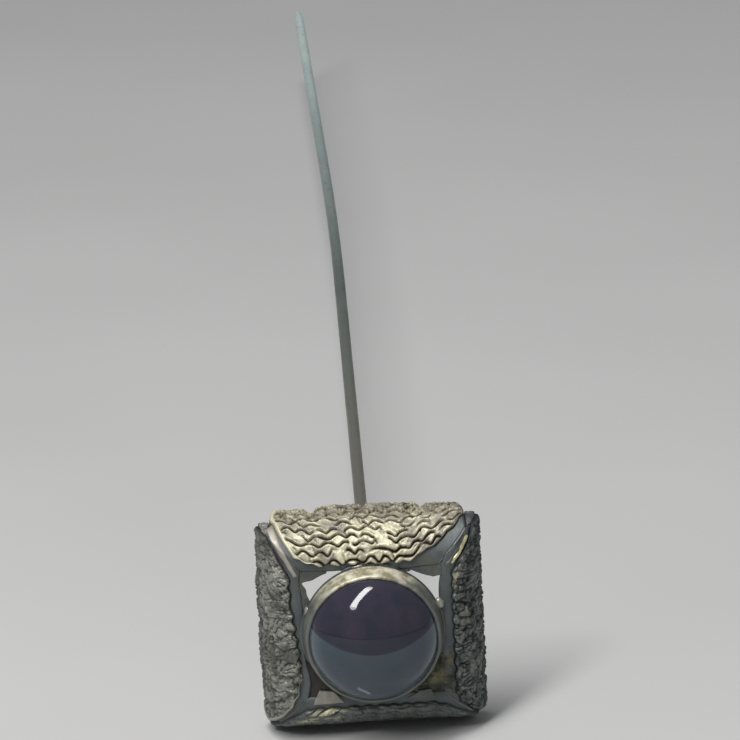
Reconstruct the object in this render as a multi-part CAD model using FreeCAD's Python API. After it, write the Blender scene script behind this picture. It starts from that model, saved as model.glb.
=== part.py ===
import FreeCAD, Part
import math
import os
from FreeCAD import Vector

# A hat pin: a hollow, square, cushion-shaped metal head that carries a domed stone in a
# bezel cup, on a long steel shank.
#
# The head faces -Y and the shank runs to +Y. +Z is up. The origin is on the shank's axis,
# in the plane of the head's back rim. "Depth" is the distance in front of that plane.
# Each side of the head is drawn once as the top side and then turned about the Y axis.
# All sizes are millimetres.

# head frame: four rails of domed sheet, open at the back
HEAD_HALF = 10.5  # half the width over the textured sheets
PANEL_THICKNESS = 0.5  # textured sheet, with its relief
SHEET = 0.5  # wall of a rail
OPENING_HALF = 6.2  # half the width of the square opening between the rails
CREST_R = 6.6  # where a rail's flat margin ends and its curve to the back rim starts
CREST_DEPTH = 5.8  # front of the flat margin
RAIL_HALF_LENGTH = 8.95  # the rails stop here, which leaves a notch at each corner
CORNER_ROUND = 0.7  # plan radius of a rail's back corners
MITRE_GAP = 0.1  # from a rail's end to the diagonal, filled by the solder seam
FLANGE_INNER_R = 7.0  # the back edge of each rail is turned in to here

# web of solder across each corner of the opening: run along the top or bottom rail, then
# along the side rail
WEB_RUNS = {
    "top_right": (3.1, 0.6),
    "bottom_right": (1.3, 2.8),
    "bottom_left": (0.8, 0.8),
    "top_left": (2.2, 1.1),
}
WEB_THICKNESS = 0.4
WEB_SETBACK = 0.1  # behind the front of the margins

# textured sheets on the rails
PANEL_MITRE_INSET = 0.75  # smooth strip left along the mitre
PANEL_BACK_ANGLE = 86.0  # where a sheet stops short of the back rim, on the rail's curve
PANEL_INNER_R = {"top": 6.75, "right": 7.5, "bottom": 7.2, "left": 7.5}
PANEL_INNER_ROUND = {"top": 2.2, "right": 2.0, "bottom": 2.4, "left": 2.0}

# bezel cup and stone
BASE_R = 6.5
BASE_THICKNESS = 0.4
COLLAR_FOOT_R = 6.42
COLLAR_TOP_R = 6.14
COLLAR_HEIGHT = 1.65  # conical part of the collar, above the base
LIP_HEIGHT = 0.2  # rounded lip, burnished over the stone
LIP_INNER_R = 5.86
SEAT_RING_HEIGHT = 0.35
SEAT_RING_INNER_R = 5.2
FOIL_THICKNESS = 0.05
STONE_R = 6.0
STONE_BEVEL = 0.25
STONE_DOME = 4.5
STONE_SHOULDER_R = 3.75  # the dome's side arc, which runs into a flatter crown arc
STONE_CLEARANCE = 0.04  # between the stone and the collar's bore

# solder joints between the cup's base and the rails
JOINT_WIDTH = 0.22
JOINT_HEIGHT = 0.35
JOINT_HALF_ANGLE = 20.0

# shank and its socket
SHANK_R = 0.6
TANG_R = 0.35
TANG_LENGTH = 3.0
SOCKET_FOOT_R = 2.4
SOCKET_MOUTH_R = 1.0
SOCKET_LENGTH = 3.8
SOCKET_SOLDER_WIDTH = 0.45
SOCKET_SOLDER_HEIGHT = 0.4
SHANK_STRAIGHT = 100.0  # from the origin to the start of the bend
BEND_RADIUS = 2400.0
BEND_ANGLE = 1.2  # degrees, towards -X
SHANK_LENGTH = 228.0  # from the origin to the point, along the wire
POINT_LENGTH = 4.0
POINT_R = 0.2

# worked-out sizes
RAIL_HALF = HEAD_HALF - PANEL_THICKNESS
HOLLOW_HALF_LENGTH = RAIL_HALF_LENGTH - SHEET
BASE_FRONT = CREST_DEPTH + BASE_THICKNESS
SEAT_FRONT = BASE_FRONT + SEAT_RING_HEIGHT
FOIL_FRONT = SEAT_FRONT + FOIL_THICKNESS
GIRDLE_DEPTH = FOIL_FRONT + STONE_BEVEL
COLLAR_TOP = BASE_FRONT + COLLAR_HEIGHT
LIP_TOP = COLLAR_TOP + LIP_HEIGHT
SOCKET_MOUTH_DEPTH = CREST_DEPTH - SOCKET_LENGTH

AXIS = Vector(0, 1, 0)
ORIGIN = Vector(0, 0, 0)
SIDES = ["top", "right", "bottom", "left"]
CORNERS = ["top_right", "bottom_right", "bottom_left", "top_left"]


def turned(shape, degrees):
    """The shape turned about the shank's axis, so that 90 degrees takes the top side to the right."""
    copy = shape.copy()
    copy.rotate(ORIGIN, AXIS, degrees)
    return copy


def cushion_curve(grow):
    """The quarter ellipse of the top rail's front, grown outwards by the given amount.

    Parameter 0 is the crest beside the opening, and pi/2 is the back rim.
    """
    crest = Vector(0, -(CREST_DEPTH + grow), CREST_R)
    rim = Vector(0, 0, RAIL_HALF + grow)
    return Part.Ellipse(crest, rim, Vector(0, 0, CREST_R))


def extruded(edges, half_length):
    """The solid swept from a closed profile in the Y-Z plane, over both halves of a rail."""
    face = Part.Face(Part.Wire(Part.__sortEdges__(edges)))
    face.translate(Vector(-half_length, 0, 0))
    return face.extrude(Vector(2 * half_length, 0, 0))


def polyline(points):
    return [Part.makeLine(a, b) for a, b in zip(points, points[1:])]


def plan_prism(corners):
    """A prism through the whole depth of the head. Each corner is (x, z, rounding radius)."""
    level = HEAD_HALF
    places = [Vector(x, level, z) for x, z, _ in corners]
    arcs = []
    for i, (_, _, radius) in enumerate(corners):
        to_last = (places[i - 1] - places[i]).normalize()
        to_next = (places[(i + 1) % len(places)] - places[i]).normalize()
        half_angle = to_last.getAngle(to_next) / 2
        run = radius / math.tan(half_angle)
        inset = radius / math.sin(half_angle) - radius
        middle = places[i] + (to_last + to_next).normalize() * inset
        arcs.append((places[i] + to_last * run, middle, places[i] + to_next * run))
    edges = []
    for i, (first, middle, last) in enumerate(arcs):
        if corners[i][2] > 0:
            edges.append(Part.Arc(first, middle, last).toShape())
        edges.append(Part.makeLine(last, arcs[(i + 1) % len(arcs)][0]))
    return Part.Face(Part.Wire(edges)).extrude(Vector(0, -3 * HEAD_HALF, 0))


def rail_blank():
    """The top rail before its ends are mitred.

    It is domed sheet with a flat margin in front, a flange turned in behind, and closed ends.
    """
    outside = cushion_curve(0)
    rim = outside.value(math.pi / 2)
    crest = outside.value(0)
    margin_front = Vector(0, -CREST_DEPTH, OPENING_HALF)
    margin_back = Vector(0, 0, OPENING_HALF)
    curve = Part.ArcOfEllipse(outside, 0, math.pi / 2).toShape()
    body = extruded([curve] + polyline([rim, margin_back, margin_front, crest]), RAIL_HALF_LENGTH)

    inside = cushion_curve(-SHEET)
    turn = math.acos(SHEET / (CREST_DEPTH - SHEET))
    flange_root = inside.value(turn)
    flange_lip = Vector(0, -SHEET, FLANGE_INNER_R)
    behind = Vector(0, SHEET, FLANGE_INNER_R)
    clear_back = Vector(0, SHEET, OPENING_HALF - SHEET)
    clear_front = Vector(0, -(CREST_DEPTH - SHEET), OPENING_HALF - SHEET)
    inner_curve = Part.ArcOfEllipse(inside, 0, turn).toShape()
    route = polyline([flange_root, flange_lip, behind, clear_back, clear_front, inside.value(0)])
    return body.cut(extruded([inner_curve] + route, HOLLOW_HALF_LENGTH))


def rail(blank):
    """One rail, cut to its mitres and with rounded back corners."""
    inner = OPENING_HALF - MITRE_GAP
    shoulder = RAIL_HALF_LENGTH + MITRE_GAP
    right = [
        (inner, OPENING_HALF, 0),
        (RAIL_HALF_LENGTH, shoulder, 0),
        (RAIL_HALF_LENGTH, RAIL_HALF, CORNER_ROUND),
    ]
    left = [(-x, z, radius) for x, z, radius in reversed(right)]
    return blank.common(plan_prism(right + left))


def seam(blank):
    """The solder in the top right mitre: half from the top rail's section, half from the right's."""
    inner = OPENING_HALF
    outer = RAIL_HALF_LENGTH
    strip = [
        (inner - MITRE_GAP, inner, 0),
        (inner, inner, 0),
        (outer, outer, 0),
        (outer, outer + MITRE_GAP, 0),
    ]
    mirrored = [(-x, z, radius) for x, z, radius in reversed(strip)]
    top_half = blank.common(plan_prism(strip))
    right_half = turned(blank.common(plan_prism(mirrored)), 90)
    return top_half.fuse(right_half).removeSplitter()


def web(corner):
    """The flat web of solder that a seam runs out into, across one corner of the opening."""
    along_x, along_z = WEB_RUNS[corner]
    side_x = -1 if "left" in corner else 1
    side_z = -1 if "bottom" in corner else 1
    x = side_x * OPENING_HALF
    z = side_z * OPENING_HALF
    back = -(CREST_DEPTH - WEB_SETBACK - WEB_THICKNESS)
    points = [(x, z), (x - side_x * along_x, z), (x, z - side_z * along_z), (x, z)]
    face = Part.Face(Part.makePolygon([Vector(px, back, pz) for px, pz in points]))
    return face.extrude(Vector(0, -WEB_THICKNESS, 0))


def panel(inner_r, inner_round):
    """The textured sheet on the top rail, following its curve and clear of its margins."""
    under = cushion_curve(0)
    over = cushion_curve(PANEL_THICKNESS)
    start = math.asin((inner_r - CREST_R) / (RAIL_HALF - CREST_R))
    end = math.radians(PANEL_BACK_ANGLE)
    profile = [
        Part.ArcOfEllipse(under, start, end).toShape(),
        Part.makeLine(under.value(end), over.value(end)),
        Part.ArcOfEllipse(over, start, end).toShape(),
        Part.makeLine(over.value(start), under.value(start)),
    ]
    outer = HEAD_HALF + PANEL_THICKNESS
    right = [
        (inner_r - PANEL_MITRE_INSET, inner_r, inner_round),
        (RAIL_HALF_LENGTH, RAIL_HALF_LENGTH + PANEL_MITRE_INSET, 0),
        (RAIL_HALF_LENGTH, outer, 0),
    ]
    left = [(-x, z, radius) for x, z, radius in reversed(right)]
    return extruded(profile, RAIL_HALF_LENGTH).common(plan_prism(right + left))


def lathe(profile, degrees=360.0, start=0.0):
    """A solid turned about the shank's axis from (radius, depth) points, first and last joined."""
    points = [Vector(0, -depth, radius) for radius, depth in profile]
    face = Part.Face(Part.makePolygon(points + points[:1]))
    return turned(face, start).revolve(ORIGIN, AXIS, degrees)


def bezel_base():
    return lathe([(0, CREST_DEPTH), (BASE_R, CREST_DEPTH), (BASE_R, BASE_FRONT), (0, BASE_FRONT)])


def bezel_collar():
    """The conical wall of the cup, with its lip closed in over the stone."""
    bore = STONE_R + STONE_CLEARANCE
    shoulder = COLLAR_TOP - 2 * STONE_BEVEL
    lip_middle = (COLLAR_TOP_R + LIP_INNER_R) / 2
    return lathe(
        [
            (bore, BASE_FRONT),
            (COLLAR_FOOT_R, BASE_FRONT),
            (COLLAR_TOP_R, COLLAR_TOP),
            (lip_middle + LIP_HEIGHT / 3, LIP_TOP),
            (LIP_INNER_R, LIP_TOP),
            (LIP_INNER_R, COLLAR_TOP + LIP_HEIGHT / 2),
            (bore, shoulder),
        ]
    )


def seat_ring():
    outer = STONE_R + STONE_CLEARANCE
    return lathe(
        [
            (SEAT_RING_INNER_R, BASE_FRONT),
            (outer, BASE_FRONT),
            (outer, SEAT_FRONT),
            (SEAT_RING_INNER_R, SEAT_FRONT),
        ]
    )


def foil_disc():
    outer = STONE_R - STONE_BEVEL
    return lathe([(0, SEAT_FRONT), (outer, SEAT_FRONT), (outer, FOIL_FRONT), (0, FOIL_FRONT)])


def dome_arcs():
    """The dome's section from girdle to apex: a shoulder arc that runs smoothly into a crown arc."""
    crown_r = (STONE_R**2 + STONE_DOME**2) / 2 - STONE_SHOULDER_R * STONE_R
    crown_r = crown_r / (STONE_DOME - STONE_SHOULDER_R)
    shoulder_centre = STONE_R - STONE_SHOULDER_R
    join = math.acos(shoulder_centre / (crown_r - STONE_SHOULDER_R))

    def arc(centre_r, centre_height, radius, angles):
        ends = []
        for angle in angles:
            height = centre_height + radius * math.sin(angle)
            ends.append(Vector(0, -(GIRDLE_DEPTH + height), centre_r + radius * math.cos(angle)))
        return Part.Arc(*ends).toShape()

    shoulder = arc(shoulder_centre, 0, STONE_SHOULDER_R, [0, join / 2, join])
    crown_angles = [join, (join + math.pi / 2) / 2, math.pi / 2]
    return [shoulder, arc(0, STONE_DOME - crown_r, crown_r, crown_angles)]


def cabochon():
    """A round stone with a flat back, a bevelled girdle and an oval dome."""
    girdle = Vector(0, -GIRDLE_DEPTH, STONE_R)
    apex = Vector(0, -(GIRDLE_DEPTH + STONE_DOME), 0)
    foot = Vector(0, -FOIL_FRONT, STONE_R - STONE_BEVEL)
    back = Vector(0, -FOIL_FRONT, 0)
    section = Part.__sortEdges__(dome_arcs() + polyline([apex, back, foot, girdle]))
    return Part.Face(Part.Wire(section)).revolve(ORIGIN, AXIS, 360)


def bezel_joint():
    """The solder bead along the base's edge where it crosses the top rail's margin."""
    bead = [
        (BASE_R, CREST_DEPTH),
        (BASE_R + JOINT_WIDTH, CREST_DEPTH),
        (BASE_R, CREST_DEPTH + JOINT_HEIGHT),
    ]
    return lathe(bead, 2 * JOINT_HALF_ANGLE, -JOINT_HALF_ANGLE)


def shank_socket():
    """The boss behind the cup, bored from its mouth for the shank's tang."""
    floor = SOCKET_MOUTH_DEPTH + TANG_LENGTH
    return lathe(
        [
            (0, floor),
            (TANG_R, floor),
            (TANG_R, SOCKET_MOUTH_DEPTH),
            (SOCKET_MOUTH_R, SOCKET_MOUTH_DEPTH),
            (SOCKET_FOOT_R, CREST_DEPTH),
            (0, CREST_DEPTH),
        ]
    )


def socket_solder():
    """The fillet of solder where the socket stands on the cup's base."""
    slope = (SOCKET_FOOT_R - SOCKET_MOUTH_R) / SOCKET_LENGTH
    return lathe(
        [
            (SOCKET_FOOT_R, CREST_DEPTH),
            (SOCKET_FOOT_R + SOCKET_SOLDER_WIDTH, CREST_DEPTH),
            (SOCKET_FOOT_R - slope * SOCKET_SOLDER_HEIGHT, CREST_DEPTH - SOCKET_SOLDER_HEIGHT),
        ]
    )


def shank():
    """The wire: a thinner tang, a straight stretch, a slight bend towards -X and a point."""
    mouth = Vector(0, -SOCKET_MOUTH_DEPTH, 0)
    tang = Part.makeCylinder(TANG_R, TANG_LENGTH, mouth, -AXIS)
    straight = Part.makeCylinder(SHANK_R, SOCKET_MOUTH_DEPTH + SHANK_STRAIGHT, mouth, AXIS)
    bend_start = Vector(0, SHANK_STRAIGHT, 0)
    centre = Vector(-BEND_RADIUS, SHANK_STRAIGHT, 0)
    section = Part.Face(Part.Wire(Part.makeCircle(SHANK_R, bend_start, AXIS)))
    bend = section.revolve(centre, Vector(0, 0, 1), BEND_ANGLE)
    angle = math.radians(BEND_ANGLE)
    radial = Vector(math.cos(angle), math.sin(angle), 0)
    ahead = Vector(-math.sin(angle), math.cos(angle), 0)
    bend_end = centre + radial * BEND_RADIUS
    rest = SHANK_LENGTH - SHANK_STRAIGHT - BEND_RADIUS * angle - POINT_LENGTH
    far = Part.makeCylinder(SHANK_R, rest, bend_end, ahead)
    point = Part.makeCone(SHANK_R, POINT_R, POINT_LENGTH, bend_end + ahead * rest, ahead)
    return tang.multiFuse([straight, bend, far, point]).removeSplitter()


def build():
    """Every node of the assembly, by name."""
    nodes = {}
    blank = rail_blank()
    side = rail(blank)
    corner = seam(blank)
    bead = bezel_joint()
    for turn, name in enumerate(SIDES):
        sheet = panel(PANEL_INNER_R[name], PANEL_INNER_ROUND[name])
        nodes[name + "_rail"] = turned(side, 90 * turn)
        nodes[name + "_panel"] = turned(sheet, 90 * turn)
        nodes[name + "_bezel_joint"] = turned(bead, 90 * turn)
    for turn, name in enumerate(CORNERS):
        nodes[name + "_seam"] = turned(corner, 90 * turn).fuse(web(name)).removeSplitter()
    nodes["bezel_base"] = bezel_base()
    nodes["bezel_collar"] = bezel_collar()
    nodes["seat_ring"] = seat_ring()
    nodes["foil_disc"] = foil_disc()
    nodes["cabochon"] = cabochon()
    nodes["shank_socket"] = shank_socket()
    nodes["socket_solder"] = socket_solder()
    nodes["shank"] = shank()
    return nodes


os.makedirs("parts", exist_ok=True)
for node_name, node_shape in build().items():
    solid = node_shape.Solids[0]
    if len(node_shape.Solids) != 1 or not solid.isValid():
        raise ValueError(node_name + " is not one valid solid")
    solid.exportStep("parts/" + node_name + ".step")
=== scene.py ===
"""A hat pin: the looks of its square cushion-shaped head, domed stone and wire.

The head faces -Y, the shank runs to +Y, and +Z is up. Shapes are worked out in millimetres
and turned into metres when a mesh is made. Each side of the head is drawn as the top side,
"along" it to +X and "across" it from the opening to the back rim, and is then turned about Y.
"""

import math

import bpy
import numpy as np
from mathutils import Matrix, Vector


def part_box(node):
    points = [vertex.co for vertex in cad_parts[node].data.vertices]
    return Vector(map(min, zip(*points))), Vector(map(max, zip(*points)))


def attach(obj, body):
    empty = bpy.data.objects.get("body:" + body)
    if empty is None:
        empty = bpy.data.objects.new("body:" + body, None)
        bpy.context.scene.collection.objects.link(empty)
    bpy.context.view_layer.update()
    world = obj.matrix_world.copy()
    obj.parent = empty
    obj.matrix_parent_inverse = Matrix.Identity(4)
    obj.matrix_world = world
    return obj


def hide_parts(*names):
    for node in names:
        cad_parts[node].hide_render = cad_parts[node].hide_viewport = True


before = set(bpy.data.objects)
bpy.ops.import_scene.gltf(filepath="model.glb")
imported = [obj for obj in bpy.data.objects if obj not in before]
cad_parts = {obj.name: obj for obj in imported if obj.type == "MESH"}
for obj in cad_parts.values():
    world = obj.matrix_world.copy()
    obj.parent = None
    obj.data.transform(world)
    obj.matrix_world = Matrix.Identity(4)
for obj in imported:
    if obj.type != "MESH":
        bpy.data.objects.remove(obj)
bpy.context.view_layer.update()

MM = 0.001


def node_box(name):
    """A CAD node's lowest and highest corner, in millimetres."""
    low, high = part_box(name)
    return np.array(low) / MM, np.array(high) / MM


RAIL_LOW, RAIL_HIGH = node_box("top_rail")
BASE_LOW, BASE_HIGH = node_box("bezel_base")
COLLAR_LOW, COLLAR_HIGH = node_box("bezel_collar")
_, STONE_HIGH = node_box("cabochon")
SHANK_LOW, _ = node_box("shank")

# head frame
OPENING_HALF = RAIL_LOW[2]
RAIL_HALF = RAIL_HIGH[2]
RAIL_HALF_LENGTH = RAIL_HIGH[0]
CREST_DEPTH = -RAIL_LOW[1]
CREST_R = 6.6
RUN = RAIL_HALF - CREST_R  # from the crest to the back rim, the rail's curve seen from in front
SIDES = ["top", "right", "bottom", "left"]

# bezel cup, stone and shank
BASE_R = BASE_HIGH[0]
BASE_FRONT = -BASE_LOW[1]
COLLAR_FOOT_R = COLLAR_HIGH[0]
COLLAR_TOP_R = 6.14
LIP_TOP = -COLLAR_LOW[1]
LIP_INNER_R = 5.86
STONE_BACK = -STONE_HIGH[1]
STONE_R = 6.0
STONE_BEVEL = 0.25
STONE_DOME = 4.5
STONE_SHOULDER_R = 3.75
SHANK_R = 0.6
SHANK_STRAIGHT = 100.0
BEND_RADIUS = 2400.0
BEND_ANGLE = math.radians(1.2)
SHANK_LENGTH = 228.0
POINT_LENGTH = 4.0
TIP_R = 0.04  # the rounded point closes to this


# ---------------------------------------------------------------- meshes

NOISE_GRID = 64  # cells before the noise repeats


def noise(u, v, cell, seed):
    """Smooth random values from -1 to 1, in patches about one cell across."""
    size = NOISE_GRID
    grid = np.random.default_rng(seed).uniform(-1, 1, (size, size))
    a = u / cell
    b = v / cell
    i = np.floor(a).astype(int)
    j = np.floor(b).astype(int)
    s = a - i
    t = b - j
    s = s * s * (3 - 2 * s)
    t = t * t * (3 - 2 * t)
    left, right = i % size, (i + 1) % size
    low, high = j % size, (j + 1) % size
    near = grid[left, low] * (1 - s) + grid[right, low] * s
    far = grid[left, high] * (1 - s) + grid[right, high] * s
    return near * (1 - t) + far * t


def ease(low, high, x):
    """0 below low and 1 above high, with a smooth step between."""
    t = np.clip((x - low) / (high - low), 0, 1)
    return t * t * (3 - 2 * t)


def round_over(distance, radius):
    """The height, from 0 to 1, of a rounded edge at a distance in from its foot."""
    t = np.clip(distance / radius, 0, 1)
    return np.sqrt(1 - (1 - t) ** 2)


def turned(points, turns):
    """Points turned about Y by quarter turns, which take the top side to the right."""
    for _ in range(turns % 4):
        points = np.stack([points[..., 2], points[..., 1], -points[..., 0]], -1)
    return points


def grid_faces(rows, columns, start=0, wrap=False):
    """Quads over a grid of points, and across its last and first column too if it wraps."""
    i = np.arange(rows - 1)[:, None]
    j = np.arange(columns if wrap else columns - 1)[None, :]
    k = (j + 1) % columns
    quads = [i * columns + j, i * columns + k, (i + 1) * columns + k, (i + 1) * columns + j]
    return (np.stack(np.broadcast_arrays(*quads), -1).reshape(-1, 4) + start).tolist()


def slab(top, under):
    """Points and faces of a closed slab between two grids of points of the same size."""
    rows, columns = top.shape[:2]
    count = rows * columns
    index = np.arange(count).reshape(rows, columns)
    rim = [*index[0, :-1], *index[:-1, -1], *index[-1, :0:-1], *index[:0:-1, 0]]
    faces = [face[::-1] for face in grid_faces(rows, columns)]
    faces += grid_faces(rows, columns, count)
    for a, b in zip(rim, rim[1:] + rim[:1]):
        faces.append([int(a), int(b), int(b) + count, int(a) + count])
    return np.concatenate([top.reshape(-1, 3), under.reshape(-1, 3)]), faces


def tube(centres, radii, sides, reference):
    """Points and faces of a closed tube of changing radius along a path."""
    centres = np.asarray(centres, float)
    ahead = np.gradient(centres, axis=0)
    ahead /= np.linalg.norm(ahead, axis=1)[:, None]
    across = np.cross(ahead, reference)
    across /= np.linalg.norm(across, axis=1)[:, None]
    up = np.cross(across, ahead)
    angle = np.linspace(0, 2 * np.pi, sides, endpoint=False)
    cos, sin = np.cos(angle)[None, :, None], np.sin(angle)[None, :, None]
    spoke = cos * across[:, None] + sin * up[:, None]
    points = centres[:, None] + spoke * np.asarray(radii, float).reshape(len(centres), -1, 1)
    faces = grid_faces(len(centres), sides, 0, True)
    last = (len(centres) - 1) * sides
    faces.append(list(range(sides))[::-1])
    faces.append(list(range(last, last + sides)))
    return points.reshape(-1, 3), faces


def lathe(profile, sides, wobble=None):
    """Points and faces of a solid turned about Y from a closed run of (radius, depth) points.

    A profile that starts and ends on the axis gets a pole at each end. wobble(angle, radius,
    depth) moves the points of one ring.
    """
    profile = np.asarray(profile, float)
    poles = profile[0, 0] < 1e-6
    rings = profile[1:-1] if poles else profile
    angle = np.linspace(0, 2 * np.pi, sides, endpoint=False)[None, :]
    radius = rings[:, :1] + 0 * angle
    depth = rings[:, 1:] + 0 * angle
    if wobble:
        radius, depth = wobble(angle, radius, depth)
    points = np.stack([radius * np.sin(angle), -depth, radius * np.cos(angle)], -1).reshape(-1, 3)
    faces = grid_faces(len(rings), sides, 0, True)
    last_ring = (len(rings) - 1) * sides
    if poles:
        first = len(points)
        points = np.concatenate([points, [[0, -profile[0, 1], 0], [0, -profile[-1, 1], 0]]])
        for j in range(sides):
            k = (j + 1) % sides
            faces.append([first, k, j])
            faces.append([first + 1, last_ring + j, last_ring + k])
    else:
        for j in range(sides):
            k = (j + 1) % sides
            faces.append([last_ring + j, last_ring + k, k, j])
    return points, faces


def joined(*parts):
    """Several (points, faces) pairs as one."""
    points = []
    faces = []
    count = 0
    for part_points, part_faces in parts:
        faces += [[index + count for index in face] for face in part_faces]
        points.append(part_points)
        count += len(part_points)
    return np.concatenate(points), faces


def add_piece(name, parts, replaced, values=()):
    """A smooth-shaded piece of the pin from parts in millimetres: (points, faces, material) each.

    values are (attribute name, number at each point) for the materials to read.
    """
    points, faces = joined(*[(part[0], part[1]) for part in parts])
    mesh = bpy.data.meshes.new(name)
    mesh.from_pydata((points * MM).tolist(), [], faces)
    mesh.update()
    mesh.shade_smooth()
    for part in parts:
        mesh.materials.append(part[2])
    owner = np.repeat(range(len(parts)), [len(part[1]) for part in parts])
    mesh.polygons.foreach_set("material_index", owner.astype(np.int32))
    for key, numbers in values:
        attribute = mesh.attributes.new(key, "FLOAT", "POINT")
        attribute.data.foreach_set("value", np.asarray(numbers, np.float32).ravel())
    piece = bpy.data.objects.new(name, mesh)
    bpy.context.scene.collection.objects.link(piece)
    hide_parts(*replaced)
    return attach(piece, "root")


# ---------------------------------------------------------------- materials


class Recipe:
    """A material with a Principled shader and short calls for the nodes in front of it."""

    def __init__(self, name, metallic, roughness):
        self.material = bpy.data.materials.new(name)
        self.material.use_nodes = True
        self.tree = self.material.node_tree
        self.shader = self.tree.nodes["Principled BSDF"]
        self.shader.inputs["Metallic"].default_value = metallic
        self.shader.inputs["Roughness"].default_value = roughness
        self.place = self.tree.nodes.new("ShaderNodeTexCoord").outputs["Object"]

    def put(self, value, target):
        """Links an output to an input, or sets the input to a plain value."""
        if hasattr(value, "links"):
            self.tree.links.new(value, target)
        else:
            target.default_value = value

    def noise(self, size, detail, stretch=(1, 1, 1)):
        """Noise whose features are about size millimetres, from 0 to 1."""
        mapping = self.tree.nodes.new("ShaderNodeMapping")
        mapping.inputs["Scale"].default_value = [s / (size * MM) for s in stretch]
        self.put(self.place, mapping.inputs["Vector"])
        node = self.tree.nodes.new("ShaderNodeTexNoise")
        node.inputs["Scale"].default_value = 1.0
        node.inputs["Detail"].default_value = detail
        self.put(mapping.outputs["Vector"], node.inputs["Vector"])
        return node.outputs["Fac"]

    def attribute(self, name):
        node = self.tree.nodes.new("ShaderNodeAttribute")
        node.attribute_name = name
        return node.outputs["Fac"]

    def axis(self, index):
        """One object coordinate in millimetres."""
        node = self.tree.nodes.new("ShaderNodeSeparateXYZ")
        self.put(self.place, node.inputs[0])
        return self.math("MULTIPLY", node.outputs[index], 1 / MM)

    def math(self, operation, a, b=0.0, c=0.0):
        node = self.tree.nodes.new("ShaderNodeMath")
        node.operation = operation
        for value, target in zip((a, b, c), node.inputs):
            self.put(value, target)
        return node.outputs[0]

    def span(self, value, low, high, to_low=0.0, to_high=1.0):
        """The value mapped from one range to another, held at the ends, with a smooth step."""
        node = self.tree.nodes.new("ShaderNodeMapRange")
        node.interpolation_type = "SMOOTHSTEP"
        self.put(value, node.inputs["Value"])
        ends = {"From Min": low, "From Max": high, "To Min": to_low, "To Max": to_high}
        for key, number in ends.items():
            node.inputs[key].default_value = number
        return node.outputs["Result"]

    def ramp(self, value, stops):
        """Colours along a value, from (position, (r, g, b)) stops."""
        node = self.tree.nodes.new("ShaderNodeValToRGB")
        elements = node.color_ramp.elements
        while len(elements) < len(stops):
            elements.new(0.5)
        for element, (position, colour) in zip(elements, stops):
            element.position = position
            element.color = (*colour, 1)
        self.put(value, node.inputs["Fac"])
        return node.outputs["Color"]

    def mix(self, factor, a, b):
        """Colour a where the factor is 0 and b where it is 1."""
        node = self.tree.nodes.new("ShaderNodeMix")
        node.data_type = "RGBA"
        self.put(factor, node.inputs[0])
        for value, target in ((a, node.inputs[6]), (b, node.inputs[7])):
            self.put(value if hasattr(value, "links") else (*value, 1), target)
        return node.outputs[2]

    def bump(self, height, distance):
        """Bumps whose full height is the distance in millimetres."""
        node = self.tree.nodes.new("ShaderNodeBump")
        node.inputs["Distance"].default_value = distance * MM
        self.put(height, node.inputs["Height"])
        self.put(node.outputs["Normal"], self.shader.inputs["Normal"])

    def colour(self, value):
        self.put(value, self.shader.inputs["Base Color"])

    def roughness(self, value):
        self.put(value, self.shader.inputs["Roughness"])


def panel_material(name, groove, body, crest, dusk, gilt):
    """Textured sheet coloured by its relief: near-black grooves, tarnished and with painted shade
    in them, and dull crests, with duskier patches, gilt borders, and painted highlights in the gilt
    colour.
    """
    recipe = Recipe(name, 0.35, 0.6)
    relief_and_shade = recipe.attribute("relief_and_shade")
    patch = recipe.noise(1.8, 3)
    grime = recipe.noise(0.3, 4)
    height = recipe.math("MULTIPLY_ADD", recipe.math("SUBTRACT", grime, 0.5), 0.4, relief_and_shade)
    metal = recipe.ramp(height, [(0.14, groove), (0.40, body), (0.9, crest)])
    raised = recipe.span(height, 0.3, 0.6, 0, 0.8)
    dull = recipe.math("MULTIPLY", recipe.span(patch, 0.46, 0.64), raised)
    shaded = recipe.mix(dull, metal, dusk)
    recipe.colour(recipe.mix(recipe.attribute("gilt"), shaded, gilt))
    recipe.roughness(recipe.span(height, 0.1, 0.9, 0.75, 0.48))
    recipe.bump(recipe.noise(0.13, 3), 0.03)
    return recipe.material


def sheet_material(name, dark, light, gilt, roughness):
    """Smooth tarnished sheet with cloudy patina, faint rubbing marks and fine pits."""
    recipe = Recipe(name, 0.55, roughness)
    cloud = recipe.noise(2.4, 4)
    marks = recipe.noise(0.5, 3, (1, 0.3, 1))
    blend = recipe.math("MULTIPLY_ADD", recipe.math("SUBTRACT", marks, 0.5), 0.5, cloud)
    metal = recipe.ramp(blend, [(0.3, dark), (0.7, light)])
    recipe.colour(recipe.mix(recipe.span(recipe.noise(3.1, 2), 0.55, 0.75), metal, gilt))
    recipe.roughness(recipe.span(marks, 0.3, 0.7, roughness - 0.08, roughness + 0.12))
    recipe.bump(recipe.noise(0.3, 4), 0.012)
    return recipe.material


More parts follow.
